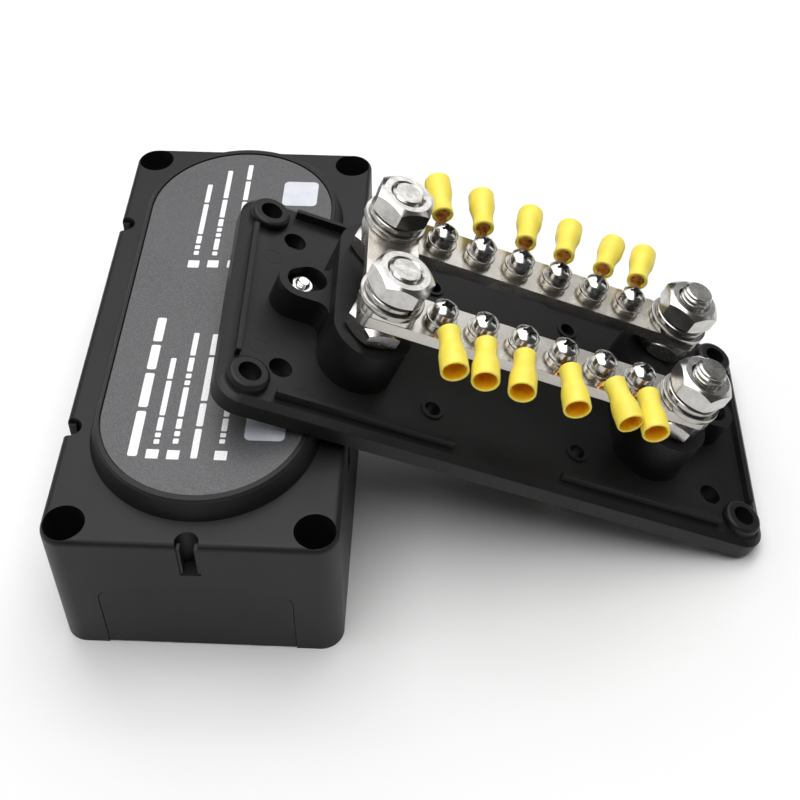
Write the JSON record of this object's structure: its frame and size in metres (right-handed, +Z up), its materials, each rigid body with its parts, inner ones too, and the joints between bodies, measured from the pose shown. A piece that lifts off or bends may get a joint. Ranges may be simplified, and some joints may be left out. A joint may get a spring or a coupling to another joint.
{
  "type": "bus bar box",
  "caption": "Two-bar battery distribution box: moulded cover lying open side down, base with plated bars, threaded studs and insulated ring terminals leaning on it.",
  "frame": {"origin": "centre of the whole set's footprint, on the floor", "axes": "+Z up; Y along the cover's long edges, +Y away from the viewer; the leaning base lies towards +X"},
  "size_m": [0.2184, 0.18, 0.1012],
  "materials": {
    "cover_plastic": "fine satin grain",
    "label": "matt printed film",
    "base_plastic": "fine satin grain",
    "bar_metal": "bright tin plating",
    "link_metal": "bright tin plating",
    "stud_metal": "stainless, machined",
    "nut_metal": "stainless, machined",
    "washer_metal": "stainless, pressed",
    "screw_metal": "bright plated",
    "lug_copper": "plated copper",
    "sleeve_vinyl": "soft satin vinyl"
  },
  "bodies": {
    "cover": {"cover_shell": "cover_plastic", "label_plate": "label"},
    "front_panel": {"end_panel_front": "cover_plastic"},
    "rear_panel": {"end_panel_rear": "cover_plastic"},
    "base": {"base_plate": "base_plastic", "stud_block_left": "base_plastic", "stud_block_right": "base_plastic", "bus_bar_front": "bar_metal", "bus_bar_rear": "bar_metal", "link_plate": "link_metal", "stud_bolts": "stud_metal", "flat_washers": "washer_metal", "ring_lugs_front": "lug_copper", "ring_lugs_rear": "lug_copper", "sleeves_front": "sleeve_vinyl", "sleeves_rear": "sleeve_vinyl", "ear_screws": "screw_metal", "ear_nuts": "screw_metal"},
    "spring_washer_lf": {"spring_washer_lf": "washer_metal"},
    "nut_lf": {"stud_nut_lf": "nut_metal"},
    "spring_washer_lr": {"spring_washer_lr": "washer_metal"},
    "nut_lr": {"stud_nut_lr": "nut_metal"},
    "spring_washer_rf": {"spring_washer_rf": "washer_metal"},
    "nut_rf": {"stud_nut_rf": "nut_metal"},
    "spring_washer_rr": {"spring_washer_rr": "washer_metal"},
    "nut_rr": {"stud_nut_rr": "nut_metal"},
    "washers_f1": {"washers_f1": "washer_metal"},
    "screw_f1": {"screw_f1": "screw_metal"},
    "washers_f2": {"washers_f2": "washer_metal"},
    "screw_f2": {"screw_f2": "screw_metal"},
    "washers_f3": {"washers_f3": "washer_metal"},
    "screw_f3": {"screw_f3": "screw_metal"},
    "washers_f4": {"washers_f4": "washer_metal"},
    "screw_f4": {"screw_f4": "screw_metal"},
    "washers_f5": {"washers_f5": "washer_metal"},
    "screw_f5": {"screw_f5": "screw_metal"},
    "washers_f6": {"washers_f6": "washer_metal"},
    "screw_f6": {"screw_f6": "screw_metal"},
    "washers_r1": {"washers_r1": "washer_metal"},
    "screw_r1": {"screw_r1": "screw_metal"},
    "washers_r2": {"washers_r2": "washer_metal"},
    "screw_r2": {"screw_r2": "screw_metal"},
    "washers_r3": {"washers_r3": "washer_metal"},
    "screw_r3": {"screw_r3": "screw_metal"},
    "washers_r4": {"washers_r4": "washer_metal"},
    "screw_r4": {"screw_r4": "screw_metal"},
    "washers_r5": {"washers_r5": "washer_metal"},
    "screw_r5": {"screw_r5": "screw_metal"},
    "washers_r6": {"washers_r6": "washer_metal"},
    "screw_r6": {"screw_r6": "screw_metal"}
  },
  "joints": [
    {"name": "base_lift", "type": "slide", "parent": "cover", "child": "base", "axis": [0, 0, 1], "range_m": [0, 0.12]},
    {"name": "front_panel_pull", "type": "slide", "parent": "cover", "child": "front_panel", "axis": [0, -1, 0], "range_m": [0, 0.04]},
    {"name": "rear_panel_pull", "type": "slide", "parent": "cover", "child": "rear_panel", "axis": [0, 1, 0], "range_m": [0, 0.04]},
    {"name": "nut_lf_rise", "type": "slide", "parent": "base", "child": "spring_washer_lf", "axis": [0.3766, 0.0057, 0.9264], "range_m": [0, 0.006]},
    {"name": "nut_lf_turn", "type": "hinge", "parent": "spring_washer_lf", "child": "nut_lf", "pos_m": [-0.00914, -0.0257, 0.09367], "axis": [0.3766, 0.0057, 0.9264], "range_deg": [0, 1442]},
    {"name": "nut_lr_rise", "type": "slide", "parent": "base", "child": "spring_washer_lr", "axis": [0.3766, 0.0057, 0.9264], "range_m": [0, 0.006]},
    {"name": "nut_lr_turn", "type": "hinge", "parent": "spring_washer_lr", "child": "nut_lr", "pos_m": [-0.00966, 0.0085, 0.09367], "axis": [0.3766, 0.0057, 0.9264], "range_deg": [0, 1442]},
    {"name": "nut_rf_rise", "type": "slide", "parent": "base", "child": "spring_washer_rf", "axis": [0.3766, 0.0057, 0.9264], "range_m": [0, 0.006]},
    {"name": "nut_rf_turn", "type": "hinge", "parent": "spring_washer_rf", "child": "nut_rf", "pos_m": [0.08459, -0.02429, 0.05555], "axis": [0.3766, 0.0057, 0.9264], "range_deg": [0, 1442]},
    {"name": "nut_rr_rise", "type": "slide", "parent": "base", "child": "spring_washer_rr", "axis": [0.3766, 0.0057, 0.9264], "range_m": [0, 0.006]},
    {"name": "nut_rr_turn", "type": "hinge", "parent": "spring_washer_rr", "child": "nut_rr", "pos_m": [0.08408, 0.00991, 0.05555], "axis": [0.3766, 0.0057, 0.9264], "range_deg": [0, 1442]},
    {"name": "screw_f1_rise", "type": "slide", "parent": "base", "child": "washers_f1", "axis": [0.3766, 0.0057, 0.9264], "range_m": [0, 0.0035]},
    {"name": "screw_f1_turn", "type": "hinge", "parent": "washers_f1", "child": "screw_f1", "pos_m": [0.00435, -0.0255, 0.08278], "axis": [0.3766, 0.0057, 0.9264], "range_deg": [0, 1802]},
    {"name": "screw_f2_rise", "type": "slide", "parent": "base", "child": "washers_f2", "axis": [0.3766, 0.0057, 0.9264], "range_m": [0, 0.0035]},
    {"name": "screw_f2_turn", "type": "hinge", "parent": "washers_f2", "child": "screw_f2", "pos_m": [0.01658, -0.02531, 0.07781], "axis": [0.3766, 0.0057, 0.9264], "range_deg": [0, 1802]},
    {"name": "screw_f3_rise", "type": "slide", "parent": "base", "child": "washers_f3", "axis": [0.3766, 0.0057, 0.9264], "range_m": [0, 0.0035]},
    {"name": "screw_f3_turn", "type": "hinge", "parent": "washers_f3", "child": "screw_f3", "pos_m": [0.0288, -0.02513, 0.07284], "axis": [0.3766, 0.0057, 0.9264], "range_deg": [0, 1802]},
    {"name": "screw_f4_rise", "type": "slide", "parent": "base", "child": "washers_f4", "axis": [0.3766, 0.0057, 0.9264], "range_m": [0, 0.0035]},
    {"name": "screw_f4_turn", "type": "hinge", "parent": "washers_f4", "child": "screw_f4", "pos_m": [0.04103, -0.02494, 0.06787], "axis": [0.3766, 0.0057, 0.9264], "range_deg": [0, 1802]},
    {"name": "screw_f5_rise", "type": "slide", "parent": "base", "child": "washers_f5", "axis": [0.3766, 0.0057, 0.9264], "range_m": [0, 0.0035]},
    {"name": "screw_f5_turn", "type": "hinge", "parent": "washers_f5", "child": "screw_f5", "pos_m": [0.05326, -0.02476, 0.0629], "axis": [0.3766, 0.0057, 0.9264], "range_deg": [0, 1802]},
    {"name": "screw_f6_rise", "type": "slide", "parent": "base", "child": "washers_f6", "axis": [0.3766, 0.0057, 0.9264], "range_m": [0, 0.0035]},
    {"name": "screw_f6_turn", "type": "hinge", "parent": "washers_f6", "child": "screw_f6", "pos_m": [0.06548, -0.02458, 0.05792], "axis": [0.3766, 0.0057, 0.9264], "range_deg": [0, 1802]},
    {"name": "screw_r1_rise", "type": "slide", "parent": "base", "child": "washers_r1", "axis": [0.3766, 0.0057, 0.9264], "range_m": [0, 0.0035]},
    {"name": "screw_r1_turn", "type": "hinge", "parent": "washers_r1", "child": "screw_r1", "pos_m": [0.00383, 0.0087, 0.08278], "axis": [0.3766, 0.0057, 0.9264], "range_deg": [0, 1802]},
    {"name": "screw_r2_rise", "type": "slide", "parent": "base", "child": "washers_r2", "axis": [0.3766, 0.0057, 0.9264], "range_m": [0, 0.0035]},
    {"name": "screw_r2_turn", "type": "hinge", "parent": "washers_r2", "child": "screw_r2", "pos_m": [0.01606, 0.00888, 0.07781], "axis": [0.3766, 0.0057, 0.9264], "range_deg": [0, 1802]},
    {"name": "screw_r3_rise", "type": "slide", "parent": "base", "child": "washers_r3", "axis": [0.3766, 0.0057, 0.9264], "range_m": [0, 0.0035]},
    {"name": "screw_r3_turn", "type": "hinge", "parent": "washers_r3", "child": "screw_r3", "pos_m": [0.02829, 0.00907, 0.07284], "axis": [0.3766, 0.0057, 0.9264], "range_deg": [0, 1802]},
    {"name": "screw_r4_rise", "type": "slide", "parent": "base", "child": "washers_r4", "axis": [0.3766, 0.0057, 0.9264], "range_m": [0, 0.0035]},
    {"name": "screw_r4_turn", "type": "hinge", "parent": "washers_r4", "child": "screw_r4", "pos_m": [0.04052, 0.00925, 0.06787], "axis": [0.3766, 0.0057, 0.9264], "range_deg": [0, 1802]},
    {"name": "screw_r5_rise", "type": "slide", "parent": "base", "child": "washers_r5", "axis": [0.3766, 0.0057, 0.9264], "range_m": [0, 0.0035]},
    {"name": "screw_r5_turn", "type": "hinge", "parent": "washers_r5", "child": "screw_r5", "pos_m": [0.05274, 0.00944, 0.0629], "axis": [0.3766, 0.0057, 0.9264], "range_deg": [0, 1802]},
    {"name": "screw_r6_rise", "type": "slide", "parent": "base", "child": "washers_r6", "axis": [0.3766, 0.0057, 0.9264], "range_m": [0, 0.0035]},
    {"name": "screw_r6_turn", "type": "hinge", "parent": "washers_r6", "child": "screw_r6", "pos_m": [0.06497, 0.00962, 0.05792], "axis": [0.3766, 0.0057, 0.9264], "range_deg": [0, 1802]}
  ],
  "couplings": [
    {"joint": "nut_lf_turn", "follows": "nut_lf_rise", "rad_per_m": 4188.8},
    {"joint": "nut_lr_turn", "follows": "nut_lr_rise", "rad_per_m": 4188.8},
    {"joint": "nut_rf_turn", "follows": "nut_rf_rise", "rad_per_m": 4188.8},
    {"joint": "nut_rr_turn", "follows": "nut_rr_rise", "rad_per_m": 4188.8},
    {"joint": "screw_f1_turn", "follows": "screw_f1_rise", "rad_per_m": 8976},
    {"joint": "screw_f2_turn", "follows": "screw_f2_rise", "rad_per_m": 8976},
    {"joint": "screw_f3_turn", "follows": "screw_f3_rise", "rad_per_m": 8976},
    {"joint": "screw_f4_turn", "follows": "screw_f4_rise", "rad_per_m": 8976},
    {"joint": "screw_f5_turn", "follows": "screw_f5_rise", "rad_per_m": 8976},
    {"joint": "screw_f6_turn", "follows": "screw_f6_rise", "rad_per_m": 8976},
    {"joint": "screw_r1_turn", "follows": "screw_r1_rise", "rad_per_m": 8976},
    {"joint": "screw_r2_turn", "follows": "screw_r2_rise", "rad_per_m": 8976},
    {"joint": "screw_r3_turn", "follows": "screw_r3_rise", "rad_per_m": 8976},
    {"joint": "screw_r4_turn", "follows": "screw_r4_rise", "rad_per_m": 8976},
    {"joint": "screw_r5_turn", "follows": "screw_r5_rise", "rad_per_m": 8976},
    {"joint": "screw_r6_turn", "follows": "screw_r6_rise", "rad_per_m": 8976}
  ]
}
